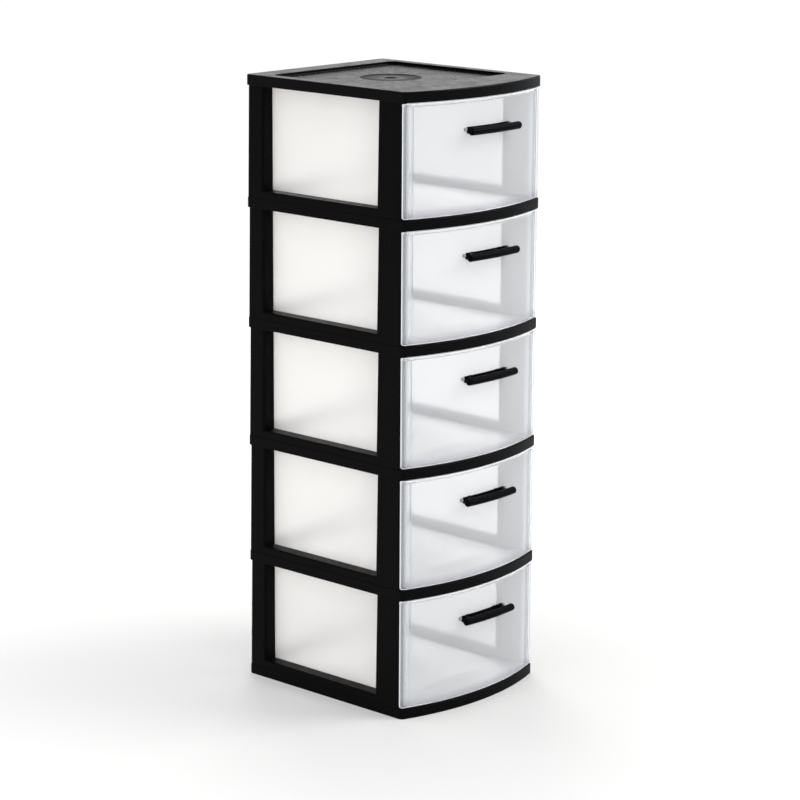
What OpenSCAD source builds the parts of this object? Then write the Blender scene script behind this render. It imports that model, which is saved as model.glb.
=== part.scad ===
// Tower of stacked frames, each with one clear drawer that slides out to the front.
// Millimetres. +Z is up and the drawers open towards -Y. The origin is on the floor, in the middle
// of the width and of the depth from the back to the front of the handles.

/* [Tower] */
// Number of stacked frames, each with its drawer
tiers = 5; // [2:1:7]
// Width across the band at the foot of a frame
tower_w = 320; // [260:5:400]
// Depth from the back to the crown of the bowed front
tower_d = 370; // [300:5:460]
// Height that each frame adds to the stack
tier_h = 194.6; // [150:0.2:260]
// How far the middle of the front stands out past its corners
bow = 30; // [16:1:36]
// Radius of the upright outer corners
corner_r = 8; // [6:0.5:12]

/* [Frame] */
// Plastic wall of the frames and of the lid
wall = 2.5; // [2:0.1:3]
// Height of the band round the foot of a frame, and of the lid
band_h = 17; // [14:0.5:22]
// How far the band stands out past the posts above it
band_step = 0.8; // [0.4:0.1:1.2]
// Clearance between a post's top and the band that it plugs into
plug_gap = 0.3; // [0.2:0.1:0.6]
// How far the posts and side sills reach in from the outer face
side_depth = 24; // [20:1:32]
// How far the back posts and the back sill reach forward from the outer face
back_depth = 20; // [14:1:26]
// Width of a front post, seen from the side
front_post_w = 51; // [40:1:62]
// Width of a back post, seen from the side and from the back
back_post_w = 37; // [28:1:44]
// How far the front posts stand behind the front corners
post_setback = 7; // [5:0.5:12]
// Height of the sills above the band
sill_h = 12; // [8:1:26]
// How far the posts' inward flanges reach up past the foot of the next band
flange_up = 6; // [3:0.5:6]
// Depth of the wedge-shaped relief in the rear half of a front post
relief_t = 1.2; // [0.6:0.1:1.4]

/* [Deck] */
// Width of the side runners that a drawer slides on
runner_w = 30; // [20:1:40]
// Depth of the deck behind the front corners
front_deck = 47; // [40:1:60]
// Depth of the deck in front of the back sill
back_deck = 30; // [20:1:45]
// Radius of the corners of the opening in the deck
opening_r = 12; // [6:1:20]
// Height of the stiffening rib round the opening
rib_h = 5; // [3:0.5:6]
// Thickness of the ribs
rib_t = 2; // [1.6:0.1:2.4]
// Length of the bar that stops a drawer
stop_bar_l = 190; // [170:5:200]
// How far the stop bar's lower edge is above the foot of its band
stop_bar_lift = 1.5; // [1:0.1:2]

/* [Lid] */
// Depth of the tray sunk into the lid
tray_deep = 5; // [4:0.5:6]
// Width of the lid's rim beside the tray
tray_side_rim = 20; // [12:1:26]
// Width of the lid's ledge behind the tray
tray_back_rim = 39; // [25:1:50]
// Width of the lid's ledge in front of the tray, from the front corners
tray_front_rim = 49; // [40:1:70]
// Radius of the tray's corners
tray_r = 15; // [8:1:20]
// Radius of the round hollow in the middle of the tray
disc_r = 49; // [30:1:60]
// Depth of the round hollow
disc_deep = 0.8; // [0.4:0.1:1]
// Radius of the dimple in the middle of the hollow
dimple_r = 9.5; // [6:0.5:14]
// Depth of the dimple
dimple_deep = 0.5; // [0.3:0.1:0.8]

/* [Drawer] */
// Plastic wall of a drawer
drawer_t = 2; // [1.6:0.1:2.4]
// Clearance between a drawer's side and the posts
side_gap = 1; // [0.6:0.1:2]
// Clearance under a drawer's floor
slide_gap = 0.3; // [0.2:0.1:0.5]
// Clearance between a closed drawer and the back sill
rear_gap = 2; // [1:0.5:5]
// Gap between the front panel and the bands above and below it
panel_gap = 1.2; // [0.8:0.1:2]
// How far the front panel's face lies behind the bands' face
panel_inset = 1; // [0.8:0.1:1.6]
// How far a drawer's rim lies below the next band
rim_drop = 3; // [2:0.5:8]
// Clearance between the panel's side returns and the front posts
return_gap = 1; // [0.6:0.1:2]
// Height and depth of the bead along the panel's top
bead = 4.5; // [3:0.5:6]
// How far the bead stands out past the panel
bead_proud = 0.6; // [0.3:0.1:0.7]
// Width of a stop tab on a drawer's back wall
tab_w = 24; // [16:1:30]
// Distance between the middles of the two stop tabs
tab_pitch = 150; // [120:2:160]
// How far a stop tab stands up past the foot of the next band
tab_up = 5; // [4:0.5:6]

/* [Handle] */
// Length of the handle's bar
bar_l = 115; // [100:5:150]
// Diameter of the bar
bar_d = 12; // [10:0.5:14]
// Distance from the panel's face to the middle of the bar
bar_reach = 17; // [16:0.5:22]
// How far the middle of the bar is below the panel's top
bar_drop = 47; // [30:1:60]
// Length of the plate that lies against the panel
plate_l = 98; // [96:2:120]
// Height of the plate
plate_h = 10.5; // [9:0.5:16]
// Thickness of the plate
plate_t = 3; // [2:0.5:3.5]
// Distance between the middles of the two legs
leg_pitch = 86; // [80:2:96]
// Width of a leg
leg_w = 8; // [6:0.5:10]
// Height of a leg
leg_h = 8; // [6:0.5:9]
// Distance between the two pegs that hold the handle
peg_pitch = 64; // [50:2:70]
// Diameter of a peg
peg_d = 6; // [4:0.5:7]
// Diameter of a peg's head
head_d = 10; // [8:0.5:12]
// Thickness of a peg's head
head_t = 1.5; // [1:0.5:2]
// Clearance of a handle on its panel and in its holes
handle_gap = 0.2; // [0.1:0.05:0.4]

/* [Hidden] */

$fn = 48;
bow_fn = 360; // sides of the large circles that the bow is cut from
over = 1; // how far a cut runs past the face it opens

black = [0.07, 0.07, 0.08];
clear = [0.90, 0.92, 0.94, 0.55];

// Plan of a tier
half_w = tower_w / 2;
handle_out = bar_reach + bar_d / 2 - panel_inset;
back_y = (tower_d + handle_out) / 2;
crown_y = back_y - tower_d;
corner_y = crown_y + bow;
bow_r = (half_w * half_w + bow * bow) / (2 * bow);
bow_y = crown_y + bow_r;

// Frame
deck_under = band_h - wall;
sill_top = band_h + sill_h;
post_top = tier_h + deck_under;
flange_top = tier_h + flange_up;
side_in = half_w - side_depth;
back_in = back_y - back_depth;
post_front_y = corner_y + post_setback;
front_post_y = post_front_y + front_post_w;
back_post_y = back_y - back_post_w;
back_post_x = half_w - back_post_w;
lean = (wall + plug_gap - band_step) / (tier_h - band_h);

// Opening in the deck
opening_x = side_in - runner_w;
opening_front = corner_y + front_deck;
opening_back = back_in - back_deck;

// Lid
tray_x = half_w - tray_side_rim;
tray_front = corner_y + tray_front_rim;
tray_back = back_y - tray_back_rim;
tray_mid = (tray_front + tray_back) / 2;

// Drawer
drawer_x = side_in - side_gap;
drawer_back = back_in - rear_gap;
drawer_foot = band_h + slide_gap;
panel_foot = band_h + panel_gap;
panel_top = tier_h - panel_gap;
rim_z = tier_h - rim_drop;
return_y = post_front_y - return_gap;

// How far back an arc of a radius round the middle of the bow lies, beside the tower's middle
function arc_y(radius, x) = bow_y - sqrt(radius * radius - x * x);

// Handle, on arcs round the middle of the bow
panel_r = bow_r - panel_inset;
plate_r = panel_r + handle_gap;
bar_r = panel_r + bar_reach;
bar_z = panel_top - bar_drop;
bar_turn = asin(bar_l / 2 / bar_r);
leg_turn = asin(leg_pitch / 2 / bar_r);
peg_y = arc_y(panel_r - drawer_t, peg_pitch / 2);
head_y = arc_y(panel_r - drawer_t, (peg_pitch + head_d) / 2) + handle_gap;

// ---------- shapes shared by the pieces ----------

// Plan of the tower, drawn in from its outer face, with the bowed front and four round corners
module outline(inset) {
    r = max(corner_r - inset, 1);
    big_r = bow_r - inset;
    w = half_w - inset;
    mid_x = w - r;
    back = back_y - inset;
    front_mid = arc_y(big_r - r, mid_x);
    reach = big_r / (big_r - r);
    touch_x = mid_x * reach;
    touch_y = bow_y - (bow_y - front_mid) * reach;
    intersection() {
        translate([0, bow_y]) circle(big_r, $fn = bow_fn);
        polygon([
            [-mid_x, front_mid], [-touch_x, touch_y], [-touch_x, crown_y - over],
            [touch_x, crown_y - over], [touch_x, touch_y], [mid_x, front_mid]
        ]);
    }
    translate([-w, front_mid]) square([2 * w, back - r - front_mid]);
    translate([-mid_x, back - r - over]) square([2 * mid_x, r + over]);
    for (x = [-mid_x, mid_x], y = [front_mid, back - r])
        translate([x, y]) circle(r);
}

// Slice of the tower's plan between two heights
module slab(low, high, inset) {
    translate([0, 0, low]) linear_extrude(high - low) outline(inset);
}

// Rectangle with round corners, between two x and two y
module round_rect(x0, x1, y0, y1, r) {
    translate([x0 + r, y0]) square([x1 - x0 - 2 * r, y1 - y0]);
    translate([x0, y0 + r]) square([x1 - x0, y1 - y0 - 2 * r]);
    for (x = [x0 + r, x1 - r], y = [y0 + r, y1 - r])
        translate([x, y]) circle(r);
}

// Box between two corners
module block(low, high) {
    translate(low) cube(high - low);
}

// The same thing on the right and on the left
module both_sides() {
    children();
    mirror([1, 0, 0]) children();
}

// ---------- frame ----------

// Half width and back of the leaning part at a height, drawn in from its outer face
function lean_x(z, inset) = half_w - band_step - inset - lean * (z - band_h);
function lean_y(z, inset) = back_y - band_step - inset - lean * (z - band_h);

// Space inside the leaning faces of the posts and sills, narrower where it plugs into the band above
module leaning_space(low, high, inset) {
    front = post_front_y + inset;
    plug_z = tier_h - plug_gap;
    intersection() {
        union() {
            slab(low, plug_z, band_step + inset);
            slab(plug_z - over, high, wall + plug_gap + inset);
        }
        rotate([90, 0, 0])
            linear_extrude(2 * tower_d, center = true)
                polygon([
                    [-lean_x(low, inset), low], [lean_x(low, inset), low],
                    [lean_x(high, inset), high], [-lean_x(high, inset), high]
                ]);
        rotate([90, 0, 90])
            linear_extrude(2 * tower_w, center = true)
                polygon([
                    [front, low], [lean_y(low, inset), low],
                    [lean_y(high, inset), high], [front, high]
                ]);
    }
}

// Opening in the deck, or its rib's outer edge when grown
module deck_opening(grow) {
    round_rect(
        -opening_x - grow, opening_x + grow,
        opening_front - grow, opening_back + grow, opening_r + grow
    );
}

// Bar behind which the stop tabs of the drawer below catch, and ribs in front of the post tops
module stop_and_sockets() {
    block([-stop_bar_l / 2, opening_front - rib_t, stop_bar_lift],
        [stop_bar_l / 2, opening_front, deck_under + over]);
    both_sides()
        block([side_in, post_front_y - plug_gap - rib_t, deck_under / 2],
            [half_w - wall / 2, post_front_y - plug_gap, deck_under + over]);
}

// Band round the foot with the deck in its top
module band() {
    difference() {
        slab(0, band_h, 0);
        slab(-over, deck_under, wall);
        translate([0, 0, -over])
            linear_extrude(band_h + 2 * over) deck_opening(0);
        both_sides()
            block([side_in + wall, front_post_y, -over],
                [lean_x(band_h, wall), back_post_y, band_h + over]);
    }
    translate([0, 0, deck_under - rib_h])
        linear_extrude(rib_h + wall / 2)
            difference() {
                deck_opening(rib_t);
                deck_opening(0);
            }
    stop_and_sockets();
}

// Outer walls of posts and sills, leaning in towards the top
module leaning_walls() {
    far = tower_w + tower_d;
    difference() {
        leaning_space(band_h - wall / 2, post_top, 0);
        translate([0, 0, -over]) leaning_space(band_h - wall / 2, post_top + 2 * over, wall);
        block([-far, front_post_y, sill_top], [far, back_post_y, far]);
        block([-back_post_x, 0, sill_top], [back_post_x, far, far]);
        block([-side_in, -far, 0], [side_in, 0, far]);
    }
}

// Flanges that turn inwards round the windows and close the posts and sills
module flanges() {
    low = band_h - wall / 2;
    intersection() {
        leaning_space(low, post_top, 0);
        union() {
            both_sides() {
                block([side_in, front_post_y - wall, low], [half_w, front_post_y, flange_top]);
                block([side_in, back_post_y, low], [half_w, back_post_y + wall, flange_top]);
                block([side_in, front_post_y - over, sill_top - wall],
                    [half_w, back_post_y + over, sill_top]);
                block([side_in, front_post_y - over, low],
                    [side_in + wall, back_post_y + over, sill_top]);
                block([back_post_x, back_in, low], [back_post_x + wall, back_y, flange_top]);
            }
            block([-back_post_x - over, back_in, sill_top - wall],
                [back_post_x + over, back_y, sill_top]);
            block([-back_post_x - over, back_in, low],
                [back_post_x + over, back_in + wall, sill_top]);
        }
    }
}

// Wedge taken off the rear half of each front post's outer face, deepest under the band above
module post_reliefs() {
    both_sides()
        translate([0, front_post_y + over, 0])
            rotate([90, 0, 0])
                linear_extrude(front_post_w / 2 + over)
                    polygon([
                        [lean_x(sill_top, 0), sill_top],
                        [half_w, sill_top],
                        [half_w, post_top + over],
                        [lean_x(post_top + over, relief_t), post_top + over]
                    ]);
}

module frame() {
    color(black)
        difference() {
            union() {
                band();
                leaning_walls();
                flanges();
            }
            post_reliefs();
        }
}

// ---------- lid ----------

module lid() {
    tray_floor = band_h - tray_deep;
    color(black) {
        difference() {
            union() {
                difference() {
                    slab(0, band_h, 0);
                    slab(-over, deck_under, wall);
                }
                translate([0, 0, tray_floor - wall])
                    linear_extrude(tray_deep + wall / 2)
                        round_rect(-tray_x - wall, tray_x + wall,
                            tray_front - wall, tray_back + wall, tray_r + wall);
                stop_and_sockets();
            }
            translate([0, 0, tray_floor])
                linear_extrude(tray_deep + over)
                    round_rect(-tray_x, tray_x, tray_front, tray_back, tray_r);
            translate([0, tray_mid, tray_floor - disc_deep])
                cylinder(r = disc_r, h = disc_deep + over, $fn = 96);
            translate([0, tray_mid, tray_floor - disc_deep - dimple_deep])
                cylinder(r = dimple_r, h = dimple_deep + over);
        }
    }
}

// ---------- drawer ----------

// Strip along the bowed front, with short returns round the corners
module front_strip(low, high, inset, thick) {
    far = tower_w + tower_d;
    intersection() {
        difference() {
            slab(low, high, inset);
            slab(low - over, high + over, inset + thick);
        }
        block([-far, -far, low - over], [far, return_y, high + over]);
    }
}

// Holes in the panel for the pegs of the handle
module peg_holes() {
    both_sides()
        translate([peg_pitch / 2, peg_y + over, bar_z])
            rotate([90, 0, 0])
                cylinder(d = peg_d + 2 * handle_gap, h = drawer_t + 3 * over);
}

// Open box behind the panel
module drawer_box() {
    difference() {
        intersection() {
            slab(drawer_foot, rim_z, panel_inset + drawer_t / 2);
            block([-drawer_x, crown_y - over, drawer_foot - over],
                [drawer_x, drawer_back, rim_z + over]);
        }
        intersection() {
            slab(drawer_foot + drawer_t, rim_z + over, panel_inset + drawer_t);
            block([-drawer_x + drawer_t, crown_y - over, drawer_foot + drawer_t],
                [drawer_x - drawer_t, drawer_back - drawer_t, rim_z + 2 * over]);
        }
    }
}

module drawer() {
    color(clear) {
        difference() {
            union() {
                drawer_box();
                front_strip(panel_foot, panel_top, panel_inset, drawer_t);
                front_strip(panel_top - bead, panel_top, panel_inset - bead_proud, bead);
                for (x = [-tab_pitch / 2, tab_pitch / 2])
                    block([x - tab_w / 2, drawer_back - drawer_t, rim_z - over],
                        [x + tab_w / 2, drawer_back, tier_h + tab_up]);
            }
            peg_holes();
        }
    }
}

// ---------- handle ----------

// Curved plate that lies against the panel
module handle_plate() {
    intersection() {
        translate([0, bow_y, bar_z - plate_h / 2])
            difference() {
                cylinder(r = plate_r + plate_t, h = plate_h, $fn = bow_fn);
                translate([0, 0, -over])
                    cylinder(r = plate_r, h = plate_h + 2 * over, $fn = bow_fn);
            }
        block([-plate_l / 2, crown_y - bow, bar_z - plate_h], [plate_l / 2, 0, bar_z + plate_h]);
    }
}

// Round bar that follows the bow and has flat ends
module handle_bar() {
    translate([0, bow_y, bar_z]) {
        rotate([0, 0, -90 - bar_turn])
            rotate_extrude(angle = 2 * bar_turn, $fn = bow_fn)
                translate([bar_r, 0]) circle(d = bar_d, $fn = 48);
    }
}

module handle_legs() {
    translate([0, bow_y, bar_z])
        for (turn = [-leg_turn, leg_turn])
            rotate([0, 0, turn])
                block([-leg_w / 2, -bar_r, -leg_h / 2],
                    [leg_w / 2, -plate_r - plate_t / 2, leg_h / 2]);
}

// Pegs that go through the panel, with the heads that hold them
module handle_pegs() {
    plate_y = arc_y(plate_r, peg_pitch / 2) - plate_t / 2;
    both_sides()
        translate([peg_pitch / 2, 0, bar_z])
            rotate([-90, 0, 0]) {
                translate([0, 0, plate_y])
                    cylinder(d = peg_d, h = head_y + head_t / 2 - plate_y);
                translate([0, 0, head_y])
                    cylinder(d = head_d, h = head_t);
            }
}

module handle() {
    color(black) {
        handle_plate();
        handle_bar();
        handle_legs();
        handle_pegs();
    }
}

// ---------- the tower ----------

module at_tier(i) {
    translate([0, 0, (i - 1) * tier_h]) children();
}

at_tier(tiers + 1) lid();
for (i = [1 : tiers]) {
    at_tier(i) frame();
    at_tier(i) drawer();
    at_tier(i) handle();
}
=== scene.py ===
"""Drawer tower: five black frames under a lid, each with a clear drawer and a bar handle."""

import math

import bmesh
import bpy
from mathutils import Matrix, Vector
from mathutils.geometry import tessellate_polygon


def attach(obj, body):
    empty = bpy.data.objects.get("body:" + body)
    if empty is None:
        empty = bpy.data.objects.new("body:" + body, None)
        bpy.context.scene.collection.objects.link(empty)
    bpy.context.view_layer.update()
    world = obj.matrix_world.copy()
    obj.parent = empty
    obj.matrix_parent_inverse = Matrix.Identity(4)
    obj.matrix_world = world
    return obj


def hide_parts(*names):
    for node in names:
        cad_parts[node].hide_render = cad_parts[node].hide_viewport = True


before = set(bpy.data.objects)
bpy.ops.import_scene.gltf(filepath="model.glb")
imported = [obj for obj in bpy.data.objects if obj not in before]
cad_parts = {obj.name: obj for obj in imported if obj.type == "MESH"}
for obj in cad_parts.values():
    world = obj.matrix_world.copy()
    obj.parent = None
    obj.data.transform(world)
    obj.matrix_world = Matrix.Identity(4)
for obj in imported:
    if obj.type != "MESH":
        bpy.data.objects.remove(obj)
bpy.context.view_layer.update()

# Shapes are in millimetres until a mesh is made from them; finishes, floor and lamps
# are in metres.
MM = 0.001
TIERS = 5
TIER_H = 194.6
LID_Z = TIERS * TIER_H

# Plan of the tower: the front is an arc of radius BOW_R round (0, BOW_Y)
HALF_W = 160.0
BACK_Y = 196.0
CORNER_R = 8.0
CROWN_Y = -174.0
BOW = 30.0
CORNER_Y = CROWN_Y + BOW
BOW_R = (HALF_W**2 + BOW**2) / (2 * BOW)
BOW_Y = CROWN_Y + BOW_R

# Frame; heights are above the foot of its own tier. The posts step in by BAND_STEP
# above the band and lean in to PLUG_INSET, where they plug into the band above.
WALL = 2.5
BAND_H = 17.0
DECK_UNDER = BAND_H - WALL
BAND_STEP = 0.8
PLUG_INSET = WALL + 0.3
PLUG_Z = TIER_H - 0.3
PLUG_PLAY = 0.05
SIDE_IN = HALF_W - 24.0
BACK_IN = BACK_Y - 20.0
SILL_TOP = BAND_H + 12.0
FLANGE_TOP = TIER_H + 6.0
POST_TOP = TIER_H + DECK_UNDER
FRONT_POST = (CORNER_Y + 7.0, CORNER_Y + 58.0)
FRONT_WALL_IN = HALF_W - 12.5
FRONT_EDGE_R = 3.5
WINDOW_EDGE_R = 4.5
RELIEF_Y = (-112.2, -110.9)
RELIEF_T = 1.2
BACK_POST_Y = BACK_Y - 37.0
BACK_POST_X = HALF_W - 37.0
STOP_BAR = ((-95, -98.85, 1.5), (95, -97.15, DECK_UNDER + 1))
SOCKET_RIB_Y = (FRONT_POST[0] - 2.3, FRONT_POST[0] - 0.3)
SOCKET_RIB_Z = (DECK_UNDER / 2, DECK_UNDER + 1)

# Half width, front, back and corner radius of the deck's opening and of the lid's tray
OPENING = (106.0, -97.0, 146.0, 12.0)
RIB_FOOT = 9.5
TRAY = (HALF_W - 20.0, CORNER_Y + 49.0, BACK_Y - 39.0, 15.0)
TRAY_FLOOR = BAND_H - 5.0
TRAY_UNDER = TRAY_FLOOR - WALL
GATE_Y = (TRAY[1] + TRAY[2]) / 2

# Drawer: PANEL is the panel's foot and top, FLARE_Y where its sides begin to widen
PANEL = (BAND_H + 1.2, TIER_H - 1.2)
PANEL_INSET = 1.0
PANEL_T = 2.0
PANEL_MIDDLE = PANEL_INSET + PANEL_T / 2
PANEL_END_Y = CORNER_Y + 6.0
BEAD = 4.5
FLARE_Y = -94.0
DRAWER_FOOT = BAND_H + 0.3
DRAWER_BACK = BACK_IN - 2.0
RIM_Z = TIER_H - 3.0
TAB_X = 75.0

# Handle; its parts lie on arcs round the middle of the bow
BAR_Z = PANEL[1] - 47.0
BAR_R = BOW_R - PANEL_INSET + 17.0
PLATE_R = BOW_R - PANEL_INSET + 0.2
PLATE_T = 3.0
PLATE_HALF = 49.0
LEG_X = 43.0
PEG_X = 32.0

# Colours, each as the two ends of its mottling
BLACK = ((0.0013, 0.0012, 0.0017), (0.0021, 0.0020, 0.0026))
COOL = ((0.928, 0.946, 0.972), (0.948, 0.960, 0.980))
WARM = ((0.985, 0.966, 0.945), (0.995, 0.978, 0.958))
# The drawer floor's colour, darker than the walls': painted shade
SHADED_WARM_FLOOR = ((0.740, 0.726, 0.712), (0.780, 0.766, 0.752))
SHADED = ((0.300, 0.305, 0.315), (0.360, 0.365, 0.375))
PALE_FLOOR = ((0.52, 0.51, 0.50), (0.54, 0.53, 0.52))


# ---------- plans and solids ----------


def arc(x, y, radius, start, end, steps):
    """Points round a centre, each with its way out: x, y, out_x, out_y."""
    turns = [math.radians(start + (end - start) * i / steps) for i in range(steps + 1)]
    return [
        (x + radius * math.cos(t), y + radius * math.sin(t), math.cos(t), math.sin(t))
        for t in turns
    ]


def bow_corner(half_w, bow_r, corner_r):
    """Centre of the round corner at the bow's right end, and the bow's swing to it."""
    x = half_w - corner_r
    swing = math.degrees(math.asin(x / (bow_r - corner_r)))
    y = BOW_Y - (bow_r - corner_r) * math.cos(math.radians(swing))
    return x, y, swing


def bowed_plan(half_w, back, bow_r, front_r, back_r):
    """Closed plan with a bowed front, anticlockwise from the bow's left end."""
    front_steps, corner_steps = 72, 8
    mid_x, mid_y, swing = bow_corner(half_w, bow_r, front_r)
    back_x, back_y = half_w - back_r, back - back_r
    return (
        arc(0, BOW_Y, bow_r, -90 - swing, -90 + swing, front_steps)[:-1]
        + arc(mid_x, mid_y, front_r, -90 + swing, 0, corner_steps)
        + arc(back_x, back_y, back_r, 0, 90, corner_steps)
        + arc(-back_x, back_y, back_r, 90, 180, corner_steps)
        + arc(-mid_x, mid_y, front_r, 180, 270 - swing, corner_steps)[:-1]
    )


def round_rect_plan(x0, x1, y0, y1, radius, steps=8):
    """Closed rectangular plan with round corners."""
    plan = []
    for x, y, start in (
        (x1 - radius, y0 + radius, -90),
        (x1 - radius, y1 - radius, 0),
        (x0 + radius, y1 - radius, 90),
        (x0 + radius, y0 + radius, 180),
    ):
        plan += arc(x, y, radius, start, start + 90, steps)
    return plan


def ring(plan, inset, z):
    """The plan drawn in by an inset, at a height."""
    return [(x - inset * ox, y - inset * oy, z) for x, y, ox, oy in plan]


def bend(x, y, radius, start, end, steps=5):
    """Round corner in a plan or in a profile."""
    return [point[:2] for point in arc(x, y, radius, start, end, steps)]


def round_off(radius, distance):
    """How far a round corner draws its edge in, at a distance from the end."""
    return radius - math.sqrt(radius**2 - max(radius - distance, 0) ** 2)


def on_bow(turn, radius, z):
    """Point on an arc round the middle of the bow, with turn in radians from the crown."""
    return (radius * math.sin(turn), BOW_Y - radius * math.cos(turn), z)


class Solid:
    """Points and faces of a closed solid."""

    def __init__(self):
        self.points = []
        self.faces = []

    def loop(self, points):
        first = len(self.points)
        self.points.extend(points)
        return list(range(first, len(self.points)))

    def skin(self, loops):
        """Quads from each loop to the next, and the loops themselves."""
        loops = [self.loop(points) for points in loops]
        for a, b in zip(loops, loops[1:]):
            self.bridge(a, b)
        return loops

    def bridge(self, a, b):
        for i in range(len(a)):
            j = (i + 1) % len(a)
            self.faces.append((a[i], a[j], b[j], b[i]))

    def cover(self, *loops):
        """Flat face inside the first loop and round the others."""
        order = [i for loop in loops for i in loop]
        flat = [[Vector(self.points[i]) for i in loop] for loop in loops]
        self.faces += [tuple(order[i] for i in f) for f in tessellate_polygon(flat)]

    def tube(self, sections):
        """Closed solid through a row of sections."""
        loops = self.skin(sections)
        self.faces += [tuple(loops[0][::-1]), tuple(loops[-1])]
        return self


def peg_profile(x, rows, steps=24):
    """Solid of revolution round the axis of a peg at x, from rows of radius and y."""
    return Solid().tube(
        [
            [(x + p[0], y, BAR_Z + p[1]) for p in arc(0, 0, r, 0, 360, steps)[:-1]]
            for r, y in rows
        ]
    )


def make_mesh(name, solid):
    """Mesh in metres from a solid, with every face turned outwards."""
    mesh = bpy.data.meshes.new(name)
    points = [(x * MM, y * MM, z * MM) for x, y, z in solid.points]
    mesh.from_pydata(points, [], solid.faces)
    work = bmesh.new()
    work.from_mesh(mesh)
    bmesh.ops.recalc_face_normals(work, faces=work.faces)
    work.to_mesh(mesh)
    work.free()
    return mesh


def make_object(name, data):
    """Object in the scene with a mesh, camera or lamp as its data."""
    obj = bpy.data.objects.new(name, data)
    bpy.context.scene.collection.objects.link(obj)
    return obj


def joined(name, solids, cuts=()):
    """One mesh from solids that run into each other, less the cuts."""
    first, *rest = solids
    base = make_object(name, make_mesh(name, first))
    tools = []
    for how, group in (("UNION", rest), ("DIFFERENCE", cuts)):
        for solid in group:
            tool = make_object("tool", make_mesh("tool", solid))
            step = base.modifiers.new(how, "BOOLEAN")
            step.operation = how
            step.object = tool
            step.solver = "EXACT"
            tools.append(tool)
    graph = bpy.context.evaluated_depsgraph_get()
    mesh = bpy.data.meshes.new_from_object(base.evaluated_get(graph))
    mesh.name = name
    mesh.materials.clear()
    for obj in (base, *tools):
        old = obj.data
        bpy.data.objects.remove(obj)
        bpy.data.meshes.remove(old)
    return mesh


def finish_mesh(mesh):
    """Smooth faces, with the edges that turn more than an angle kept sharp."""
    sharp = 32
    mesh.polygons.foreach_set("use_smooth", [True] * len(mesh.polygons))
    mesh.set_sharp_from_angle(angle=math.radians(sharp))


# ---------- frame ----------

OUTLINE = bowed_plan(HALF_W, BACK_Y, BOW_R, CORNER_R, CORNER_R)


def lean(z):
    """How far the posts' outer face lies in from the band's, at a height."""
    z = min(z, PLUG_Z)
    return BAND_STEP + (PLUG_INSET - BAND_STEP) * (z - BAND_H) / (PLUG_Z - BAND_H)


def skirt_profile(edge):
    """Inset and height from the underside of the top, round the foot, to the top's edge."""
    inner, outer = 0.6, 0.7
    return (
        [(WALL + 1.2, DECK_UNDER), (WALL + 0.35, DECK_UNDER - 0.35), (WALL, DECK_UNDER - 1.2)]
        + bend(WALL - inner, inner, inner, 0, -90, 3)
        + bend(outer, outer, outer, -90, -180, 3)
        + bend(edge, BAND_H - edge, edge, 180, 90, 6)
    )


def rect_rings(sizes, profile):
    """Rings of a round-cornered rectangle, from how far each is grown and its height."""
    x, y0, y1, radius = sizes
    plan = round_rect_plan(-x, x, y0, y1, radius)
    return [ring(plan, -grow, z) for grow, z in profile]


def band():
    """Skirt round the foot with the deck in its top and a rib round the deck's opening."""
    solid = Solid()
    skirt = solid.skin([ring(OUTLINE, i, z) for i, z in skirt_profile(2.0)])
    rib = solid.skin(
        rect_rings(
            OPENING,
            [(0.8, BAND_H), (0.25, BAND_H - 0.25), (0, BAND_H - 0.8)]
            + [(0, RIB_FOOT + 0.4), (0.15, RIB_FOOT + 0.1), (0.4, RIB_FOOT)]
            + [(1.6, RIB_FOOT), (1.85, RIB_FOOT + 0.1), (2, RIB_FOOT + 0.4)]
            + [(2, DECK_UNDER)],
        )
    )
    solid.cover(skirt[-1], rib[0])
    solid.cover(skirt[0], rib[-1])
    return solid


def block(low, high):
    """Box with rounded upright edges and softened ends."""
    edge, cut = 0.5, 0.35
    plan = round_rect_plan(low[0], high[0], low[1], high[1], edge, 3)
    rows = ((cut, low[2]), (0, low[2] + cut), (0, high[2] - cut), (cut, high[2]))
    return Solid().tube([ring(plan, inset, z) for inset, z in rows])


def stop_and_sockets():
    """Bar that stops the drawer below, and ribs in front of the post tops."""
    parts = [block(*STOP_BAR)]
    for side in (-1, 1):
        x = sorted((side * SIDE_IN, side * (HALF_W - 1.6)))
        low, high = zip(x, SOCKET_RIB_Y, SOCKET_RIB_Z)
        parts.append(block(low, high))
    return parts


def mirrored(points, side):
    """Plan points for the right side, or turned over for the left."""
    return points if side > 0 else [(-x, y) for x, y in reversed(points)]


def front_post_plan(z):
    """Channel open towards the drawer, with the shallow relief in its rear half."""
    out = HALF_W - lean(z)
    sunk = 0.02 + RELIEF_T * max(z - SILL_TOP, 0) / (POST_TOP - SILL_TOP)
    front, rear = FRONT_POST
    low = out - sunk
    inner = out - WALL
    return (
        [(FRONT_WALL_IN, front + 0.6), (FRONT_WALL_IN + 0.6, front)]
        + bend(out - FRONT_EDGE_R, front + FRONT_EDGE_R, FRONT_EDGE_R, -90, 0)
        + [(out, RELIEF_Y[0]), (low, RELIEF_Y[1])]
        + bend(low - WINDOW_EDGE_R, rear - WINDOW_EDGE_R, WINDOW_EDGE_R, 0, 90, 6)
        + [(SIDE_IN + 0.6, rear), (SIDE_IN, rear - 0.6), (SIDE_IN, rear - WALL)]
        + bend(inner - 3, rear - WALL - 3, 3, 90, 0)
        + bend(inner - 2, front + WALL + 2, 2, 0, -90, 4)
        + [(FRONT_WALL_IN, front + WALL)]
    )


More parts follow.
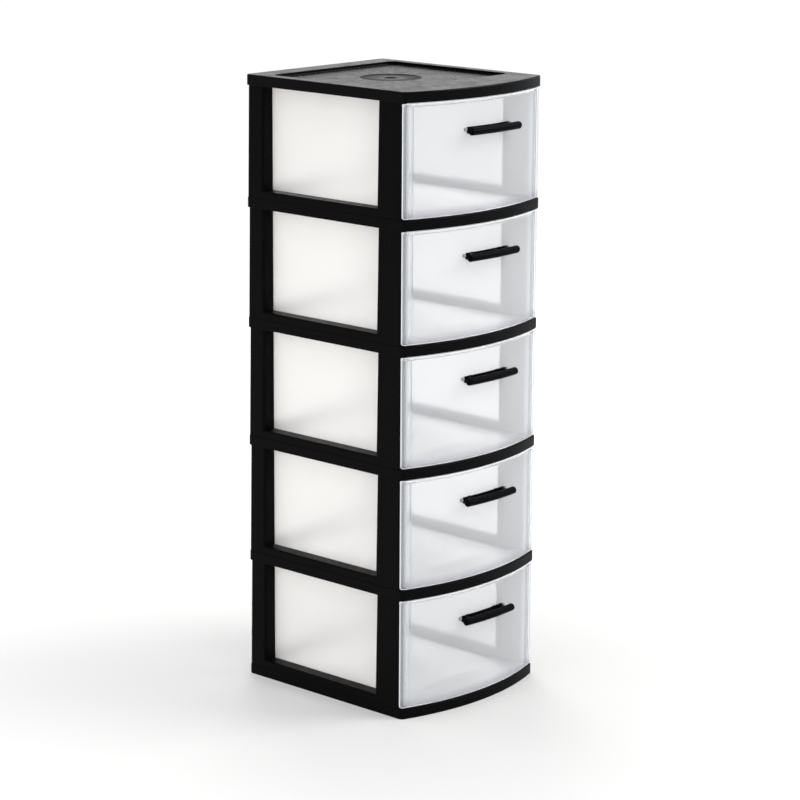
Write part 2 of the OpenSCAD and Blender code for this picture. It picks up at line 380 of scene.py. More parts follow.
def back_post_plan(z):
    """Channel round the back corner, from the side window to the back window."""
    inset = lean(z)
    out, back = HALF_W - inset, BACK_Y - inset
    corner_x, corner_y = HALF_W - CORNER_R, BACK_Y - CORNER_R
    r = WINDOW_EDGE_R
    side, rear = BACK_POST_Y, BACK_POST_X
    return (
        [(SIDE_IN, side)]
        + bend(out - r, side + r, r, -90, 0, 6)
        + bend(corner_x, corner_y, CORNER_R - inset, 0, 90, 8)
        + bend(rear + r, back - r, r, 90, 180, 6)
        + [(rear, BACK_IN), (rear + WALL, BACK_IN)]
        + bend(rear + WALL + 2, back - WALL - 2, 2, 180, 90, 4)
        + bend(corner_x, corner_y, CORNER_R - inset - WALL, 90, 0, 8)
        + bend(out - WALL - 2, side + WALL + 2, 2, 0, -90, 4)
        + [(SIDE_IN, side + WALL)]
    )


def upright(plan, heights, side):
    """Solid through a plan that changes with height, on one side of the tower."""
    return Solid().tube(
        [[(x, y, z) for x, y in mirrored(plan(z), side)] for z in heights]
    )


def plug_plans():
    """Walls of the posts that run on up into the band above."""
    out = HALF_W - PLUG_INSET - PLUG_PLAY
    inner = out - WALL + 2 * PLUG_PLAY
    front = FRONT_POST[0] + PLUG_PLAY
    rear = FRONT_POST[1] - 6
    low = out - RELIEF_T - PLUG_PLAY
    front_plug = (
        [(FRONT_WALL_IN + 1, front)]
        + bend(out - FRONT_EDGE_R, front + FRONT_EDGE_R, FRONT_EDGE_R, -90, 0)
        + [(out, RELIEF_Y[0]), (low, RELIEF_Y[1]), (low, rear), (inner, rear)]
        + bend(inner - 2, front + WALL + 1.9, 2, 0, -90, 4)
        + [(FRONT_WALL_IN + 1, front + WALL - 2 * PLUG_PLAY)]
    )
    corner = (HALF_W - CORNER_R, BACK_Y - CORNER_R)
    outer_r = CORNER_R - PLUG_INSET - PLUG_PLAY
    back = BACK_Y - PLUG_INSET
    side_end, back_end = BACK_POST_Y + 6, BACK_POST_X + 6
    back_plug = (
        [(inner, side_end), (out, side_end)]
        + bend(*corner, outer_r, 0, 90, 8)
        + [(back_end, back - PLUG_PLAY), (back_end, back - WALL + PLUG_PLAY)]
        + bend(*corner, outer_r - WALL + 2 * PLUG_PLAY, 90, 0, 8)
    )
    return front_plug, back_plug


def sill_profile(outer, inner):
    """Distance and height round a sill: hollow, with a rounded upper outer edge."""
    foot = DECK_UNDER + 0.5
    low_out, high_out = outer - lean(foot), outer - lean(SILL_TOP)
    edge = 2.5
    return (
        [(low_out, foot)]
        + bend(high_out - edge, SILL_TOP - edge, edge, 0, 90, 6)
        + bend(inner + 1, SILL_TOP - 1, 1, 90, 180, 3)
        + [(inner, foot), (inner + WALL, foot)]
        + [(inner + WALL, SILL_TOP - WALL), (high_out - WALL, SILL_TOP - WALL)]
        + [(low_out - WALL, foot)]
    )


def sills():
    """The two side sills and the back sill, run a little into the posts."""
    side = sill_profile(HALF_W, SIDE_IN)
    back = sill_profile(BACK_Y, BACK_IN)
    front_end = FRONT_POST[1] - WINDOW_EDGE_R
    back_end = BACK_POST_Y + WINDOW_EDGE_R
    across = BACK_POST_X + WINDOW_EDGE_R
    return [
        Solid().tube([[(s * x, y, z) for x, z in side] for y in (front_end, back_end)])
        for s in (-1, 1)
    ] + [Solid().tube([[(x, y, z) for y, z in back] for x in (-across, across)])]


def frame_mesh():
    """One frame: band and deck, four posts with their plugs, three sills."""
    post_rows = (DECK_UNDER + 0.4, SILL_TOP, 80, 140, PLUG_Z, FLANGE_TOP)
    plug_rows = (FLANGE_TOP - 3, POST_TOP)
    parts = [band(), *stop_and_sockets()]
    for side in (-1, 1):
        parts.append(upright(front_post_plan, post_rows, side))
        parts.append(upright(back_post_plan, post_rows, side))
        for plan in plug_plans():
            parts.append(upright(lambda z, plan=plan: plan, plug_rows, side))
    parts += sills()
    return joined("frame", parts)


# ---------- lid ----------


def round_rings(rows, steps):
    """Rings round the middle of the tray, from radius and depth below the tray's floor."""
    return [
        [point[:2] + (TRAY_FLOOR - depth,) for point in arc(0, GATE_Y, r, 0, 360, steps)[:-1]]
        for r, depth in rows
    ]


def lid_mesh():
    """Lid with its sunk tray, the round hollow in the tray and the dimple in the hollow."""
    solid = Solid()
    skirt = solid.skin([ring(OUTLINE, i, z) for i, z in skirt_profile(2.2)])
    tray = solid.skin(
        rect_rings(
            TRAY,
            [(1, BAND_H), (0.6, BAND_H - 0.08), (0.3, BAND_H - 0.3), (0.08, BAND_H - 0.6)]
            + [(0, BAND_H - 1), (0, TRAY_FLOOR + 1.4), (-0.12, TRAY_FLOOR + 0.8)]
            + [(-0.45, TRAY_FLOOR + 0.35), (-0.9, TRAY_FLOOR + 0.09), (-1.5, TRAY_FLOOR)],
        )
    )
    pan = solid.skin(
        rect_rings(
            TRAY,
            [(WALL, DECK_UNDER), (WALL, TRAY_UNDER + 0.7)]
            + [(WALL - 0.3, TRAY_UNDER + 0.2), (WALL - 0.9, TRAY_UNDER)],
        )
    )
    hollow_rows = ((50, 0), (49.6, 0.06), (49.2, 0.25), (48.8, 0.55), (48.4, 0.74), (48, 0.8))
    dimple_rows = (
        (10, 0.8), (9.8, 0.83), (9.5, 0.98), (9, 1.3), (8, 1.66), (6, 1.95), (3.5, 2.1), (1, 2.15)
    )
    hollow = solid.skin(round_rings(hollow_rows, 96))
    dimple = solid.skin(round_rings(dimple_rows, 48))
    solid.cover(skirt[-1], tray[0])
    solid.cover(tray[-1], hollow[0])
    solid.cover(hollow[-1], dimple[0])
    solid.cover(dimple[-1])
    solid.cover(skirt[0], pan[0])
    solid.cover(pan[-1])
    return joined("lid", [solid, *stop_and_sockets()])


# ---------- drawer ----------


def panel_profile():
    """Distance behind the band's face and height, round the panel's wall and its bead."""
    low, high = PANEL
    front_foot = [(1.8, 0), (1.23, 0.23), (1, 0.8)]
    head = [
        (1, -BEAD - 1.2), (0.85, -BEAD - 0.3), (0.5, -BEAD + 0.25), (0.4, -BEAD + 0.9),
        (0.4, -1.1), (0.55, -0.5), (0.9, -0.12), (1.5, 0),
        (4.1, 0), (4.66, -0.24), (4.9, -0.8),
        (4.9, -BEAD + 0.9), (4.6, -BEAD + 0.25), (4.0, -BEAD), (3.3, -BEAD - 0.3), (3, -BEAD - 1),
    ]
    rear_foot = [(3, 0.8), (2.77, 0.23), (2.2, 0)]
    return (
        [(i, low + z) for i, z in front_foot]
        + [(i, high + z) for i, z in head]
        + [(i, low + z) for i, z in rear_foot]
    )


def panel_stations():
    """Points along the panel with their ways out, and how far each is from its nearer end."""
    mid_x, mid_y, swing = bow_corner(HALF_W, BOW_R, CORNER_R)
    front = arc(0, BOW_Y, BOW_R, -90 - swing, -90 + swing, 96)
    left = arc(-mid_x, mid_y, CORNER_R, 180, 270 - swing, 20)
    right = arc(mid_x, mid_y, CORNER_R, -90 + swing, 0, 20)
    ends = (PANEL_END_Y, PANEL_END_Y - 0.2)
    stations = (
        [(-HALF_W, y, -1, 0) for y in ends]
        + left + front[1:-1] + right
        + [(HALF_W, y, 1, 0) for y in ends[::-1]]
    )
    along = [0.0]
    for pair in zip(stations, stations[1:]):
        middle = [(x - PANEL_MIDDLE * ox, y - PANEL_MIDDLE * oy) for x, y, ox, oy in pair]
        along.append(along[-1] + math.dist(*middle))
    return [(station, min(s, along[-1] - s)) for station, s in zip(stations, along)]


def front_panel():
    """Strip along the bow with a bead along its top, and round corners."""
    low, high = PANEL
    foot_r, head_r, end_r = 4.5, 2.0, 0.9
    sections = []
    for (x, y, ox, oy), d in panel_stations():
        up = round_off(foot_r, d)
        down = round_off(head_r, d)
        thin = math.sqrt(1 - (max(end_r - d, 0) / end_r * 0.9) ** 2)
        section = []
        for i, z in panel_profile():
            i = PANEL_MIDDLE + (i - PANEL_MIDDLE) * thin
            z = min(max(z, low + up + (z - low) * 0.02), high - down + (z - high) * 0.02)
            section.append((x - i * ox, y - i * oy, z))
        sections.append(section)
    return Solid().tube(sections)


def flared_plan(front_w, half_w, back, bow_r, front_r, back_r):
    """Plan of the drawer's box, whose sides widen a little towards the bowed front."""
    mid_x, mid_y, swing = bow_corner(front_w, bow_r, front_r)
    right = arc(mid_x, mid_y, front_r, -90 + swing, 0, 6)
    steps = 10
    for i in range(1, steps + 1):
        share = i / steps
        ease = share * share * (3 - 2 * share)
        x = front_w + (half_w - front_w) * ease
        right.append((x, mid_y + (FLARE_Y - mid_y) * share, 1, 0))
    right += arc(half_w - back_r, back - back_r, back_r, 0, 90, 8)
    left = [(-x, y, -ox, oy) for x, y, ox, oy in reversed(right)]
    return arc(0, BOW_Y, bow_r, -90 - swing, -90 + swing, 48)[1:-1] + right + left


def turn_in(plan, radius, z, start, end):
    """Rings round a bend at the box's foot, from flat to upright or back."""
    steps = 5
    return [
        ring(plan, radius * (1 - math.cos(t)), z + radius * (1 - math.sin(t)))
        for t in (math.radians(start + (end - start) * i / steps) for i in range(steps + 1))
    ]


def drawer_box():
    """Open box behind the panel, with round edges inside and out."""
    solid = Solid()
    front_w, half_w, wall = 146, SIDE_IN - 1, 2
    front_out, front_in = BOW_R - 2.2, BOW_R - 3.2
    front_r, back_r, foot_r, floor_r = 3.2, 6, 2.2, 1.2
    outer = flared_plan(front_w, half_w, DRAWER_BACK, front_out, front_r, back_r)
    inner = flared_plan(
        front_w - wall, half_w - wall, DRAWER_BACK - wall, front_in, front_r, back_r - wall
    )
    rim = [(0, -0.6), (0.18, -0.18), (0.6, 0)]
    walls = solid.skin(
        turn_in(outer, foot_r, DRAWER_FOOT, 90, 0)
        + [ring(outer, i, RIM_Z + z) for i, z in rim]
        + [ring(inner, -i, RIM_Z + z) for i, z in reversed(rim)]
        + turn_in(inner, floor_r, DRAWER_FOOT + wall, 0, 90)
    )
    solid.cover(walls[0])
    solid.cover(walls[-1])
    return solid


def upright_tab(x):
    """Stop tab on the back wall, with round upper corners."""
    half_w, radius = 12, 3
    front, back, cut = DRAWER_BACK - 1.85, DRAWER_BACK - 0.15, 0.35
    plan = round_rect_plan(x - half_w, x + half_w, RIM_Z - 4, TIER_H + 5, radius, 5)
    rows = [(0.4, front), (0, front + cut), (0, back - cut), (0.4, back)]
    return Solid().tube([[(px, y, pz) for px, pz, _ in ring(plan, i, 0)] for i, y in rows])


def handle_lug(side):
    """Small lug beside the end of the handle's plate, with a rounded face."""
    start, end = (PLATE_HALF + 0.6) / PLATE_R, (PLATE_HALF + 5.2) / PLATE_R
    low, high = -1.3, 3.9
    corners = ((start, low, 1, 1), (end, low, -1, 1), (end, high, -1, -1), (start, high, 1, -1))
    sections = []
    for proud, inset in ((-2, 0), (1.6, 0), (2.1, 0.15), (2.4, 0.6)):
        sections.append(
            [
                on_bow(side * (turn + k * inset / PLATE_R), BOW_R + proud, BAR_Z + z + m * inset)
                for turn, z, k, m in corners
            ]
        )
    return Solid().tube(sections)


def drawer_mesh():
    """Panel, box, stop tabs and lugs as one moulding, less the holes for the pegs."""
    parts = [front_panel(), drawer_box()]
    parts += [upright_tab(-TAB_X), upright_tab(TAB_X), handle_lug(-1), handle_lug(1)]
    hole_r, front, back = 3.2, -180, -160
    holes = [peg_profile(x, [(hole_r, front), (hole_r, back)]) for x in (-PEG_X, PEG_X)]
    return joined("drawer", parts, holes)


# ---------- handle ----------


def soft_stations(half, edge, turns, steps):
    """Places along a bar or plate from end to end, closest together over its round ends."""
    ends = [edge * (1 - math.cos(math.radians(turn))) for turn in turns]
    inner = half - edge
    middle = [-inner + inner * 2 * i / steps for i in range(1, steps)]
    return [-half + e for e in ends] + middle + [half - e for e in reversed(ends)]


def handle_bar():
    """Round bar along the bow with flat ends, whose edges are rounded."""
    radius, edge, half = 5.99, 2.2, 57.5
    turns = [math.radians(360 * i / 32) for i in range(32)]
    sections = []
    for s in soft_stations(half, edge, (0, 15, 30, 50, 70, 90), 36):
        r = radius - round_off(edge, half - abs(s))
        sections.append(
            [on_bow(s / BAR_R, BAR_R + r * math.cos(t), BAR_Z + r * math.sin(t)) for t in turns]
        )
    return Solid().tube(sections)


def handle_plate():
    """Curved plate with softened edges and round corners."""
    height, edge = 5.25, 1.6
    inner, outer = PLATE_R, PLATE_R + PLATE_T
    sections = []
    for s in soft_stations(PLATE_HALF, edge, (0, 22, 45, 68, 90), 30):
        h = height - round_off(edge, PLATE_HALF - abs(s))
        outline = (
            (inner, -h + 0.4), (inner + 0.4, -h), (outer - 0.9, -h),
            (outer - 0.26, -h + 0.26), (outer, -h + 0.9), (outer, h - 0.9),
            (outer - 0.26, h - 0.26), (outer - 0.9, h), (inner + 0.4, h), (inner, h - 0.4),
        )
        sections.append([on_bow(s / outer, r, BAR_Z + z) for r, z in outline])
    return Solid().tube(sections)


def handle_leg(side):
    """Rounded leg from the plate to the bar, wider at the plate."""
    turn = side * math.asin(LEG_X / BAR_R)
    edge, squat = 1.8, 0.98
    rows = (
        (PLATE_R + 2.0, 5.0), (PLATE_R + 3.2, 4.9), (PLATE_R + 4.2, 4.3),
        (PLATE_R + 6.0, 4.0), (BAR_R, 4.0),
    )
    sections = []
    for radius, half in rows:
        plan = round_rect_plan(-half, half, -half, half, edge, 4)
        sections.append(
            [on_bow(turn + u / radius, radius, BAR_Z + v * squat) for u, v, _, _ in plan]
        )
    return Solid().tube(sections)


def handle_peg(x):
    """Peg from the plate through the panel, with a flat round head inside the drawer."""
    shank_r, head_r, play = 3, 5, 0.2
    panel_back = BOW_R - PANEL_INSET - PANEL_T
    plate_y = BOW_Y - math.sqrt(PLATE_R**2 - PEG_X**2) - PLATE_T / 2
    head_y = BOW_Y - math.sqrt(panel_back**2 - (PEG_X + head_r) ** 2) + play
    return peg_profile(
        x,
        [(shank_r, plate_y), (shank_r, head_y), (head_r - 0.3, head_y), (head_r, head_y + 0.3)]
        + [(head_r, head_y + 1.1), (head_r - 0.15, head_y + 1.38), (head_r - 0.5, head_y + 1.5)],
        32,
    )


def handle_mesh():
    """Bar, plate, legs and pegs as one moulding."""
    parts = [handle_bar(), handle_plate(), handle_leg(-1), handle_leg(1)]
    parts += [handle_peg(-PEG_X), handle_peg(PEG_X)]
    return joined("handle", parts)


# ---------- finishes ----------


def new_group(name, inputs, outputs):
    """Node group with named sockets; each socket is (name, type, default)."""
    tree = bpy.data.node_groups.new(name, "ShaderNodeTree")
    for direction, sockets in (("INPUT", inputs), ("OUTPUT", outputs)):
        for label, kind, value in sockets:
            socket = tree.interface.new_socket(
                name=label, in_out=direction, socket_type="NodeSocket" + kind
            )
            if value is not None:
                socket.default_value = value
    return tree, tree.nodes.new("NodeGroupInput"), tree.nodes.new("NodeGroupOutput")


def add(tree, kind, **values):
    """Node with its sockets and settings given by name; a socket as a value is linked."""
    node = tree.nodes.new("ShaderNode" + kind)
    sockets = {socket.name.lower().replace(" ", "_"): socket for socket in node.inputs}
    sockets.update({f"i{i}": socket for i, socket in enumerate(node.inputs)})
    for key, value in values.items():
        if key not in sockets:
            setattr(node, key, value)
        elif isinstance(value, bpy.types.NodeSocket):
            tree.links.new(value, sockets[key])
        else:
            sockets[key].default_value = value
    return node


def maths(tree, operation, first, second):
    """Result of one operation on two numbers or sockets."""
    return add(tree, "Math", operation=operation, i0=first, i1=second).outputs[0]


def moulded_surface():
    """Fine grain, slow mottling and scuffs of injection-moulded plastic."""
    scales = (("Grain Scale", 900.0), ("Mottle Scale", 14.0), ("Scuff Scale", 60.0))
    tree, given, made = new_group(
        "moulded_surface",
        [(label, "Float", value) for label, value in scales],
        [(label, "Float", None) for label in ("Height", "Mottle", "Scuff")],
    )
    point = add(tree, "TexCoord").outputs["Object"]
    stretched = add(tree, "Mapping", vector=point)
    stretched.inputs["Scale"].default_value = (1.0, 1.0, 0.18)
    noises = []
    for vector, (label, _), detail in zip((point, point, stretched.outputs[0]), scales, (3, 4, 6)):
        noise = add(tree, "TexNoise", vector=vector, scale=given.outputs[label], detail=detail)
        noises.append(noise.outputs["Fac"])
    grain, mottle, streak = noises
    tree.links.new(grain, made.inputs["Height"])
    tree.links.new(mottle, made.inputs["Mottle"])
    tree.links.new(between(tree, streak, 0.0, 1.0, 0.56, 0.74), made.inputs["Scuff"])
    return tree


def new_material(name):
    """Material with its node tree and its Principled shader."""
    material = bpy.data.materials.new(name)
    material.use_nodes = True
    tree = material.node_tree
    return material, tree, tree.nodes["Principled BSDF"]


def place_group(tree, group, **values):
    """Group node with its inputs given by name."""
    node = tree.nodes.new("ShaderNodeGroup")
    node.node_tree = group
    for key, value in values.items():
        node.inputs[key.replace("_", " ")].default_value = value
    return node


def between(tree, value, low, high, start=0.0, end=1.0, kind="LINEAR"):
    """A value that runs from low to high while another runs from start to end."""
    node = add(tree, "MapRange", value=value, interpolation_type=kind)
    for key, number in (("From Min", start), ("From Max", end), ("To Min", low), ("To Max", high)):
        node.inputs[key].default_value = number
    return node.outputs["Result"]


def tint(tree, factor, first, second):
    """A colour between two, by a mask; a socket as a colour is linked."""
    node = tree.nodes.new("ShaderNodeMix")
    node.data_type = "RGBA"
    tree.links.new(factor, node.inputs["Factor"])
    for socket, colour in zip(node.inputs[6:8], (first, second)):
        if isinstance(colour, bpy.types.NodeSocket):
            tree.links.new(colour, socket)
        else:
            socket.default_value = (*colour, 1)
    return node.outputs[2]


def mixed(tree, factor, first, second):
    """Mix of two shaders by a mask."""
    node = tree.nodes.new("ShaderNodeMixShader")
    for socket, value in zip(node.inputs, (factor, first, second)):
        tree.links.new(value, socket)
    return node.outputs[0]


def bump(tree, height, strength):
    """Normal with a fine relief, 0.2 mm deep at full strength."""
    node = add(tree, "Bump", height=height, strength=strength)
    node.inputs["Distance"].default_value = 0.2 * MM
    return node.outputs["Normal"]


def black_plastic(name, surface, roughness, scuff, grain, specular):
    """Satin black plastic: mottled colour, scuffed sheen and a fine moulded grain."""
    material, tree, shader = new_material(name)
    group = place_group(tree, surface, Grain_Scale=grain)
    links = tree.links
    links.new(tint(tree, group.outputs["Mottle"], *BLACK), shader.inputs["Base Color"])
    rough = between(tree, group.outputs["Mottle"], *roughness)
    scuffs = between(tree, group.outputs["Scuff"], 0.0, scuff)
    links.new(maths(tree, "ADD", rough, scuffs), shader.inputs["Roughness"])
    links.new(bump(tree, group.outputs["Height"], 0.25), shader.inputs["Normal"])
    shader.inputs["IOR"].default_value = 1.49
    shader.inputs["Specular IOR Level"].default_value = specular
    return material


def from_gate(tree):
    """Distance from the gate in the tray's middle, and the direction away from it."""
    point = add(tree, "TexCoord").outputs["Object"]
    away = add(tree, "VectorMath", operation="SUBTRACT", i0=point, i1=(0, GATE_Y * MM, 0))
    flat = add(tree, "VectorMath", operation="MULTIPLY", i0=away.outputs[0], i1=(1, 1, 0))
    reach = add(tree, "VectorMath", operation="LENGTH", i0=flat.outputs[0])
    way = add(tree, "VectorMath", operation="NORMALIZE", i0=flat.outputs[0])
    return reach.outputs["Value"], way.outputs[0]


def lid_plastic(surface):
    """Black plastic of the lid: a dull ring round the gate, with faint flow marks from it."""
    hollow_r, dimple_r = 49.0 * MM, 9.8 * MM
    dull_start, dull_end = 16.0 * MM, 46.0 * MM
    material = black_plastic("black_lid_plastic", surface, (0.21, 0.29), 0.1, 700.0, 0.07)
    tree = material.node_tree
    shader = tree.nodes["Principled BSDF"]
    reach, way = from_gate(tree)

    # Noise drawn out along rays from the gate, and noise in rings round it
    turned = add(tree, "VectorMath", operation="SCALE", i0=way)
    turned.inputs["Scale"].default_value = 3.2
    drift = add(tree, "CombineXYZ", z=maths(tree, "MULTIPLY", reach, 9.0))
    ray_place = add(
        tree, "VectorMath", operation="ADD", i0=turned.outputs[0], i1=drift.outputs[0]
    )
    rays = add(tree, "TexNoise", vector=ray_place.outputs[0], scale=2.6, detail=4.0)
    ring_place = add(tree, "CombineXYZ", x=reach)
    rings = add(tree, "TexNoise", vector=ring_place.outputs[0], scale=130.0, detail=2.0)

    # Duller towards the edge of the hollow, and duller in the dimple
    dull = between(tree, reach, 0.05, 0.24, dull_start, dull_end, "SMOOTHSTEP")
    inside = maths(tree, "LESS_THAN", reach, hollow_r)
    gate = maths(tree, "LESS_THAN", reach, dimple_r)
    total = shader.inputs["Roughness"].links[0].from_socket
    for part in (
        maths(tree, "MULTIPLY", dull, inside),
        between(tree, rays.outputs["Fac"], -0.14, 0.14),
        between(tree, rings.outputs["Fac"], -0.07, 0.07),
        maths(tree, "MULTIPLY", gate, 0.4),
    ):
        total = maths(tree, "ADD", total, part)
    tree.links.new(total, shader.inputs["Roughness"])
    return material


def clear_plastic(surface, name, transmission, ior, colours, roughness, grain, foot):
    """Milky clear plastic that blurs what is behind it, with painted shade along the foot of a
    front, standing in for the black deck seen through it.
    """
    material, tree, shader = new_material(name)
    group = place_group(tree, surface, Grain_Scale=500.0, Mottle_Scale=9.0)
    links = tree.links
    colour = tint(tree, group.outputs["Mottle"], *colours)
    # Painted shade: bluish grey along the foot of the front, standing in for the black deck seen
    # through it
    if foot:
        colour = tint(tree, foot_shade_mask(tree), colour, (0.66, 0.66, 0.72))
    links.new(colour, shader.inputs["Base Color"])
    links.new(between(tree, group.outputs["Mottle"], *roughness), shader.inputs["Roughness"])
    links.new(bump(tree, group.outputs["Height"], grain), shader.inputs["Normal"])
    shader.inputs["Transmission Weight"].default_value = transmission
    shader.inputs["IOR"].default_value = ior
    let_light_in(tree, shader)
    return material


def foot_shade_mask(tree):
    """Mask of the painted shade: 1 at the foot of each drawer's front, fading out a little way up.
    """
    full, gone = 16.0 * MM, 36.0 * MM
    point = add(tree, "SeparateXYZ", vector=add(tree, "TexCoord").outputs["Object"])
    height = maths(tree, "MODULO", point.outputs["Z"], TIER_H * MM)
    return between(tree, height, 1.0, 0.0, full, gone, "SMOOTHSTEP")


def let_light_in(tree, shader):
    """Lets soft light and lamps through to what the plastic holds."""
    path = tree.nodes.new("ShaderNodeLightPath")
    open_way = add(tree, "BsdfTransparent", color=(0.9, 0.9, 0.9, 1))
    shown = shader.outputs[0]
    for kind in ("Is Diffuse Ray", "Is Shadow Ray"):
        shown = mixed(tree, path.outputs[kind], shown, open_way.outputs[0])
    tree.links.new(shown, tree.nodes["Material Output"].inputs["Surface"])


# Places in a drawer where its finishes change
FRONT_Y = -120.0
FRONT_DEPTH = 3.6
BEAD_Y = -100.0
PANEL_CORNER = (136.0, -134.0)
PANEL_EDGE_Y = PANEL_END_Y - 1.4


def sort_drawer_faces(mesh):
    """Gives each face of a drawer its finish, by its place and the way it looks."""
    front, outside, inside, underside, glowing_rims, lugs = range(6)
    for face in mesh.polygons:
        x, y, z = face.center / MM
        reach = math.hypot(x, BOW_Y - y)
        on_wall = y < FRONT_Y and reach > BOW_R - FRONT_DEPTH
        on_bead = z > RIM_Z + 0.1 and y < BEAD_Y
        on_corner = abs(x) > PANEL_CORNER[0] and y < PANEL_CORNER[1]
        if y < FRONT_Y and reach > BOW_R:
            finish = lugs
        elif on_wall or on_bead or on_corner:
            # Rims along the panel's edges get a whiter, less clear finish: a painted glow of light
            # carried along the edges
            at_rim = z < PANEL[0] + 1.1 or z > PANEL[1] - 0.9 or y > PANEL_EDGE_Y
            finish = glowing_rims if at_rim else front
        # Underside of the floor: its darker colour is painted shade
        elif z < DRAWER_FOOT + 3.2 and face.normal.z < -0.3:
            finish = underside
        elif z < RIM_Z - 0.5 and inwards(x, y, face.normal):
            finish = inside
        else:
            finish = outside
        face.material_index = finish


def inwards(x, y, normal):
    """Whether a face of the box looks into the drawer."""
    if normal.z > 0.5:
        return True
    side_x, back_y, middle_y = 120.0, 160.0, 30.0
    to_middle = Vector((-x, middle_y - y, 0)).normalized()
    side = abs(x) > side_x and -x * normal.x > 0 and abs(normal.x) > 0.5
    back = y > back_y and normal.y < -0.5
    front = y < FRONT_Y and normal.y > 0.5
    return side or back or front or normal.dot(to_middle) > 0.7


# ---------- the pieces ----------


def place(name, mesh, lift, node, body, materials):
    """Puts one moulding in its place and ties it to its body."""
    copy = mesh.copy()
    copy.name = name
    copy.transform(Matrix.Translation((0, 0, lift * MM)))
    finish_mesh(copy)
    for material in materials:
        copy.materials.append(material)
    piece = make_object(name, copy)
    even = piece.modifiers.new("even normals", "WEIGHTED_NORMAL")
    even.keep_sharp = True
    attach(piece, body)
    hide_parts(node)


def drawer_finishes(surface):
    """The finishes of a drawer, in the order that its faces are sorted into."""
    rows = (
        # name, share let through, IOR, colours, roughness, grain, painted shade along the foot
        ("clear_front_plastic", 0.81, 1.2, COOL, (0.07, 0.1), 0.05, True),
        ("frosted_wall_plastic", 0.5, 1.35, WARM, (0.4, 0.48), 0.08, False),
        ("smooth_inner_plastic", 1.0, 1.35, WARM, (0.12, 0.18), 0.05, False),
        ("frosted_floor_plastic", 0.45, 1.35, SHADED_WARM_FLOOR, (0.4, 0.5), 0.1, False),
        # Whiter, less clear rims: painted glow along the panel's edges
        ("bright_rim_plastic", 0.3, 1.2, COOL, (0.3, 0.4), 0.05, False),
        ("shaded_lug_plastic", 0.4, 1.2, SHADED, (0.2, 0.3), 0.05, False),
    )
    return [clear_plastic(surface, *row) for row in rows]


def build_tower():
    """The lid, and in each tier a frame, a drawer and its handle."""
    surface = moulded_surface()
    frame_black = [black_plastic("black_frame_plastic", surface, (0.36, 0.46), 0.08, 900.0, 0.05)]
    lid_black = [lid_plastic(surface)]
    handle_black = [black_plastic("black_handle_plastic", surface, (0.4, 0.5), 0.06, 1200.0, 0.03)]
    clear = drawer_finishes(surface)
    place("lid_moulding", lid_mesh(), LID_Z, "lid", "cabinet", lid_black)
    frame_shape, drawer_shape, handle_shape = frame_mesh(), drawer_mesh(), handle_mesh()
    sort_drawer_faces(drawer_shape)
    for tier in range(1, TIERS + 1):
        lift = (tier - 1) * TIER_H
        body = f"drawer_body_{tier}"
        place(f"frame_moulding_{tier}", frame_shape, lift, f"frame_{tier}", "cabinet",
              frame_black)
        place(f"drawer_moulding_{tier}", drawer_shape, lift, f"drawer_{tier}", body,
              clear)
        place(f"handle_moulding_{tier}", handle_shape, lift, f"handle_{tier}", body,
              handle_black)


# ---------- studio ----------


def aim_camera():
    """Camera at the photograph's place: the left front corner, seen from a little above."""
    azimuth, elevation, roll = (math.radians(a) for a in (-47.702, 13.217, 0.321))
    target = Vector((0, 11, 495))
    distance, shift_right, shift_down = 4500, 2.35, 28.73
    sensor, focal_pixels, picture_pixels = 36, 2791.1, 800
    back = Vector((
        math.sin(azimuth) * math.cos(elevation),
        -math.cos(azimuth) * math.cos(elevation),
        math.sin(elevation),
    ))
    level = Vector((0, 0, 1)).cross(back).normalized()
    tall = back.cross(level)
    right = level * math.cos(roll) + tall * math.sin(roll)
    up = tall * math.cos(roll) - level * math.sin(roll)
    spot = target + back * distance + right * shift_right - up * shift_down
    data = bpy.data.cameras.new("photo_camera")
    data.sensor_width = sensor
    data.lens = sensor * focal_pixels / picture_pixels
    data.clip_start, data.clip_end = 0.1, 200
    camera = make_object("photo_camera", data)
    camera.matrix_world = Matrix((
        (right.x, up.x, back.x, spot.x * MM),
        (right.y, up.y, back.y, spot.y * MM),
        (right.z, up.z, back.z, spot.z * MM),
        (0, 0, 0, 1),
    ))
    bpy.context.scene.camera = camera


def seen_directly(tree, glossy):
    """1 for camera and see-through rays, and a share for mirror rays."""
    path = tree.nodes.new("ShaderNodeLightPath").outputs
    direct = maths(tree, "MAXIMUM", path["Is Camera Ray"], path["Is Transmission Ray"])
    return maths(tree, "MAXIMUM", direct, maths(tree, "MULTIPLY", path["Is Glossy Ray"], glossy))


def lay_floor():
    """Plain pale floor that keeps the tower's shadow and otherwise renders white."""
    half, near, far = 15.0, 0.3, 1.6
    glow_near, glow_far, mirrored = 0.16, 0.4, 0.3
    material, tree, shader = new_material("white_floor")
    shader.inputs["Roughness"].default_value = 0.9
    shader.inputs["Specular IOR Level"].default_value = 0.0
    point = add(tree, "TexCoord").outputs["Object"]
    noise = add(tree, "TexNoise", vector=point, scale=3.0, detail=3.0)
    tree.links.new(tint(tree, noise.outputs["Fac"], *PALE_FLOOR), shader.inputs["Base Color"])
    reach = add(tree, "VectorMath", operation="LENGTH", i0=point).outputs["Value"]
    ramp = between(tree, reach, glow_near, glow_far, near, far, "SMOOTHSTEP")
    glow = maths(tree, "MULTIPLY", seen_directly(tree, mirrored), ramp)
    tree.links.new(glow, shader.inputs["Emission Strength"])
    shader.inputs["Emission Color"].default_value = (1, 1, 1, 1)
    mesh = bpy.data.meshes.new("floor")
    corners = [(x * half, y * half, 0) for x, y in ((-1, -1), (1, -1), (1, 1), (-1, 1))]
    mesh.from_pydata(corners, [], [(0, 1, 2, 3)])
    mesh.materials.append(material)
    floor = make_object("floor", mesh)


def backdrop(tree, colour, strength):
    """Even background of one colour."""
    return add(tree, "Background", color=(*colour, 1), strength=strength).outputs[0]


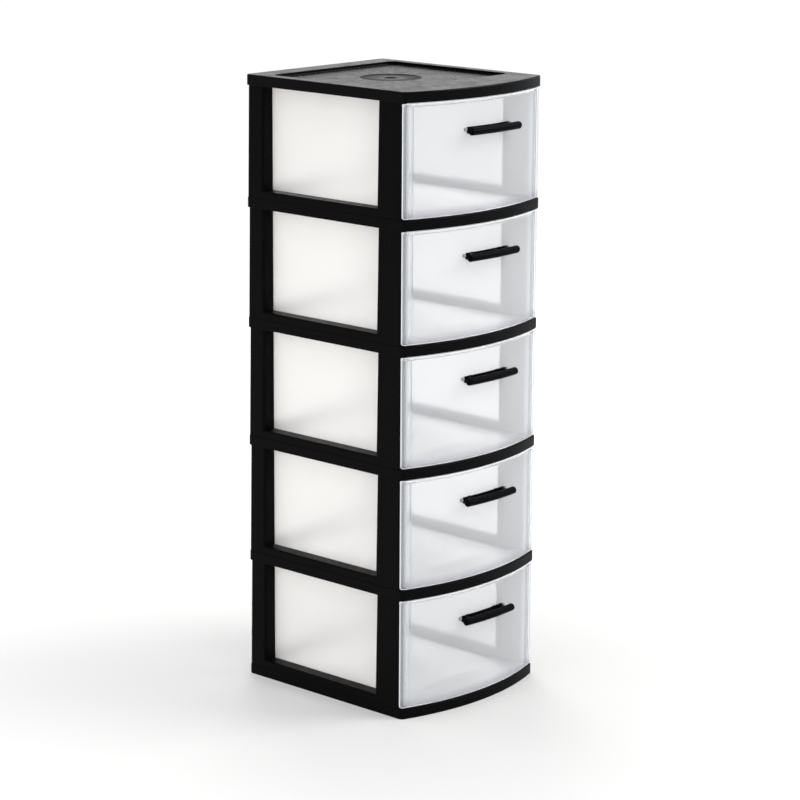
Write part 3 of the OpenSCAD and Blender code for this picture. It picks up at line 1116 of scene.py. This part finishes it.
def light_world():
    """Even soft light, with a white backdrop for camera, mirror and see-through rays."""
    world = bpy.data.worlds.new("studio")
    bpy.context.scene.world = world
    world.use_nodes = True
    tree = world.node_tree
    tree.nodes.clear()
    soft = backdrop(tree, (0.955, 0.978, 1.0), 1.2)
    white = backdrop(tree, (1, 1, 1), 1.0)
    behind_clear = backdrop(tree, (1.0, 0.94, 0.885), 1.0)
    room = backdrop(tree, (1, 1, 1), 0.15)

    # Mirror rays see white on the far side of the tower and a dim room on the near side.
    far_side = (0.736, 0.677, 0.0)
    way = add(tree, "TexCoord").outputs["Generated"]
    behind = add(tree, "VectorMath", operation="DOT_PRODUCT", i0=way, i1=far_side)
    mask = between(tree, behind.outputs["Value"], 0.0, 1.0, 0.0, 0.6)
    path = tree.nodes.new("ShaderNodeLightPath").outputs
    lit = mixed(tree, path["Is Glossy Ray"], soft, mixed(tree, mask, room, white))
    first_sight = maths(tree, "LESS_THAN", path["Diffuse Depth"], 0.5)
    seen_through = maths(tree, "MULTIPLY", path["Is Transmission Ray"], first_sight)
    through = mixed(tree, seen_through, lit, behind_clear)
    shown = mixed(tree, path["Is Camera Ray"], through, white)
    add(tree, "OutputWorld", surface=shown)


def hang_lamp(name, spot, size, power, mirrored=True, seen_through=True):
    """Square soft lamp that points at the middle of the tower."""
    data = bpy.data.lights.new(name, "AREA")
    data.shape = "SQUARE"
    data.size = size
    data.energy = power
    lamp = make_object(name, data)
    lamp.location = spot
    lamp.visible_camera = False
    lamp.visible_glossy = mirrored
    lamp.visible_transmission = seen_through
    middle = Vector((0, 0, 0.5))
    away = Vector(spot) - middle
    lamp.rotation_euler = away.to_track_quat("Z", "Y").to_euler()


build_tower()
aim_camera()
lay_floor()
light_world()
hang_lamp("key", (2.4, -2.4, 3.0), 2.2, 100)
hang_lamp("back", (1.9, 2.3, 2.6), 1.5, 50, mirrored=False)
hang_lamp("side", (-3.0, 0.2, 0.9), 1.6, 22, mirrored=False, seen_through=False)
bpy.context.scene.view_settings.view_transform = "Standard"
